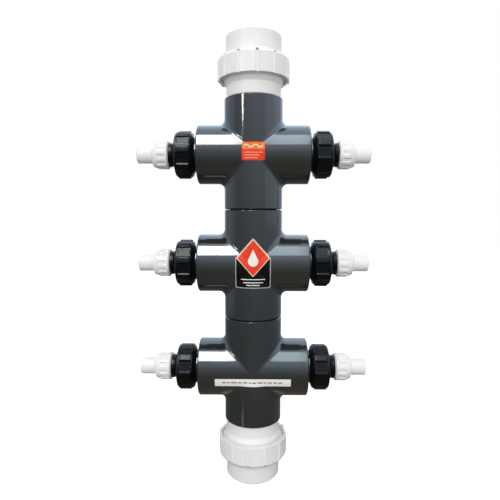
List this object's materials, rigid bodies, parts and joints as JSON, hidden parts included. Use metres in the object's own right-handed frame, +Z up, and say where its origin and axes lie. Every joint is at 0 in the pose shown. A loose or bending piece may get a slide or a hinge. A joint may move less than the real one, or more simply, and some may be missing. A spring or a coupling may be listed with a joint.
{
  "type": "salt chlorine generator",
  "caption": "In-line pool salt chlorinator: vertical pipe-cross manifold with pipe unions at both ends and plug-in electrode cells in its side ports.",
  "frame": {"origin": "centre of the mouth of the inlet pipe socket, at the foot of the assembly", "axes": "+Z up along the flow from inlet to outlet, +X along the right-hand side ports, -Y towards the front face with the labels"},
  "size_m": [0.2978, 0.0914, 0.5708],
  "materials": {
    "grey_pvc": "glossy moulded dark grey PVC",
    "white_pvc": "satin moulded white PVC",
    "black_nylon": "semi-gloss black glass-filled plastic",
    "coated_titanium": "titanium plate with a dark mixed-oxide coating",
    "titanium": "bare titanium rod",
    "seal_rubber": "black sealing rubber",
    "label_film": "printed self-adhesive film"
  },
  "bodies": {
    "manifold": {"top_cross": "grey_pvc", "middle_cross": "grey_pvc", "bottom_cross": "grey_pvc", "upper_coupling_nipple": "grey_pvc", "lower_coupling_nipple": "grey_pvc", "outlet_nipple": "grey_pvc", "inlet_nipple": "grey_pvc", "outlet_union_body": "white_pvc", "inlet_union_body": "white_pvc", "union_o_rings": "seal_rubber", "cell_o_rings": "seal_rubber", "top_label": "label_film", "middle_label": "label_film", "bottom_label": "label_film", "port_bushing_top_left": "grey_pvc", "port_bushing_top_right": "grey_pvc", "port_bushing_middle_left": "grey_pvc", "port_bushing_middle_right": "grey_pvc", "port_bushing_bottom_left": "grey_pvc", "port_bushing_bottom_right": "grey_pvc", "cell_union_body_top_left": "black_nylon", "cell_union_body_top_right": "black_nylon", "cell_union_body_middle_left": "black_nylon", "cell_union_body_middle_right": "black_nylon", "cell_union_body_bottom_left": "black_nylon", "cell_union_body_bottom_right": "black_nylon"},
    "outlet_tail": {"outlet_tailpiece": "white_pvc"},
    "outlet_nut": {"outlet_union_nut": "white_pvc"},
    "inlet_tail": {"inlet_tailpiece": "white_pvc"},
    "inlet_nut": {"inlet_union_nut": "white_pvc"},
    "cell_top_left": {"cell_holder_top_left": "black_nylon", "electrode_plates_top_left": "coated_titanium", "electrode_terminals_top_left": "titanium", "cable_adapter_top_left": "white_pvc"},
    "nut_top_left": {"cell_nut_top_left": "black_nylon"},
    "cell_top_right": {"cell_holder_top_right": "black_nylon", "electrode_plates_top_right": "coated_titanium", "electrode_terminals_top_right": "titanium", "cable_adapter_top_right": "white_pvc"},
    "nut_top_right": {"cell_nut_top_right": "black_nylon"},
    "cell_middle_left": {"cell_holder_middle_left": "black_nylon", "electrode_plates_middle_left": "coated_titanium", "electrode_terminals_middle_left": "titanium", "cable_adapter_middle_left": "white_pvc"},
    "nut_middle_left": {"cell_nut_middle_left": "black_nylon"},
    "cell_middle_right": {"cell_holder_middle_right": "black_nylon", "electrode_plates_middle_right": "coated_titanium", "electrode_terminals_middle_right": "titanium", "cable_adapter_middle_right": "white_pvc"},
    "nut_middle_right": {"cell_nut_middle_right": "black_nylon"},
    "cell_bottom_left": {"cell_holder_bottom_left": "black_nylon", "electrode_plates_bottom_left": "coated_titanium", "electrode_terminals_bottom_left": "titanium", "cable_adapter_bottom_left": "white_pvc"},
    "nut_bottom_left": {"cell_nut_bottom_left": "black_nylon"},
    "cell_bottom_right": {"cell_holder_bottom_right": "black_nylon", "electrode_plates_bottom_right": "coated_titanium", "electrode_terminals_bottom_right": "titanium", "cable_adapter_bottom_right": "white_pvc"},
    "nut_bottom_right": {"cell_nut_bottom_right": "black_nylon"}
  },
  "joints": [
    {"name": "outlet_union_slide", "type": "slide", "parent": "manifold", "child": "outlet_tail", "axis": [0, 0, 1], "range_m": [0, 0.01485]},
    {"name": "outlet_nut_spin", "type": "hinge", "parent": "outlet_tail", "child": "outlet_nut", "pos_m": [0, 0, 0.5303], "axis": [0, 0, 1], "range_deg": [0, 1260]},
    {"name": "inlet_union_slide", "type": "slide", "parent": "manifold", "child": "inlet_tail", "axis": [0, 0, -1], "range_m": [0, 0.01485]},
    {"name": "inlet_nut_spin", "type": "hinge", "parent": "inlet_tail", "child": "inlet_nut", "pos_m": [0, 0, 0.0405], "axis": [0, 0, -1], "range_deg": [0, 1260]},
    {"name": "cell_slide_top_left", "type": "slide", "parent": "manifold", "child": "cell_top_left", "axis": [-1, 0, 0], "range_m": [0, 0.086]},
    {"name": "cell_nut_spin_top_left", "type": "hinge", "parent": "cell_top_left", "child": "nut_top_left", "pos_m": [-0.0865, 0, 0.4248], "axis": [-1, 0, 0], "range_deg": [0, 1620]},
    {"name": "cell_slide_top_right", "type": "slide", "parent": "manifold", "child": "cell_top_right", "axis": [1, 0, 0], "range_m": [0, 0.086]},
    {"name": "cell_nut_spin_top_right", "type": "hinge", "parent": "cell_top_right", "child": "nut_top_right", "pos_m": [0.0865, 0, 0.4248], "axis": [1, 0, 0], "range_deg": [0, 1620]},
    {"name": "cell_slide_middle_left", "type": "slide", "parent": "manifold", "child": "cell_middle_left", "axis": [-1, 0, 0], "range_m": [0, 0.086]},
    {"name": "cell_nut_spin_middle_left", "type": "hinge", "parent": "cell_middle_left", "child": "nut_middle_left", "pos_m": [-0.0865, 0, 0.2854], "axis": [-1, 0, 0], "range_deg": [0, 1620]},
    {"name": "cell_slide_middle_right", "type": "slide", "parent": "manifold", "child": "cell_middle_right", "axis": [1, 0, 0], "range_m": [0, 0.086]},
    {"name": "cell_nut_spin_middle_right", "type": "hinge", "parent": "cell_middle_right", "child": "nut_middle_right", "pos_m": [0.0865, 0, 0.2854], "axis": [1, 0, 0], "range_deg": [0, 1620]},
    {"name": "cell_slide_bottom_left", "type": "slide", "parent": "manifold", "child": "cell_bottom_left", "axis": [-1, 0, 0], "range_m": [0, 0.086]},
    {"name": "cell_nut_spin_bottom_left", "type": "hinge", "parent": "cell_bottom_left", "child": "nut_bottom_left", "pos_m": [-0.0865, 0, 0.146], "axis": [-1, 0, 0], "range_deg": [0, 1620]},
    {"name": "cell_slide_bottom_right", "type": "slide", "parent": "manifold", "child": "cell_bottom_right", "axis": [1, 0, 0], "range_m": [0, 0.086]},
    {"name": "cell_nut_spin_bottom_right", "type": "hinge", "parent": "cell_bottom_right", "child": "nut_bottom_right", "pos_m": [0.0865, 0, 0.146], "axis": [1, 0, 0], "range_deg": [0, 1620]}
  ],
  "couplings": [
    {"joint": "outlet_union_slide", "follows": "outlet_nut_spin", "m_per_rad": 0.00067375},
    {"joint": "inlet_union_slide", "follows": "inlet_nut_spin", "m_per_rad": 0.00067375}
  ]
}
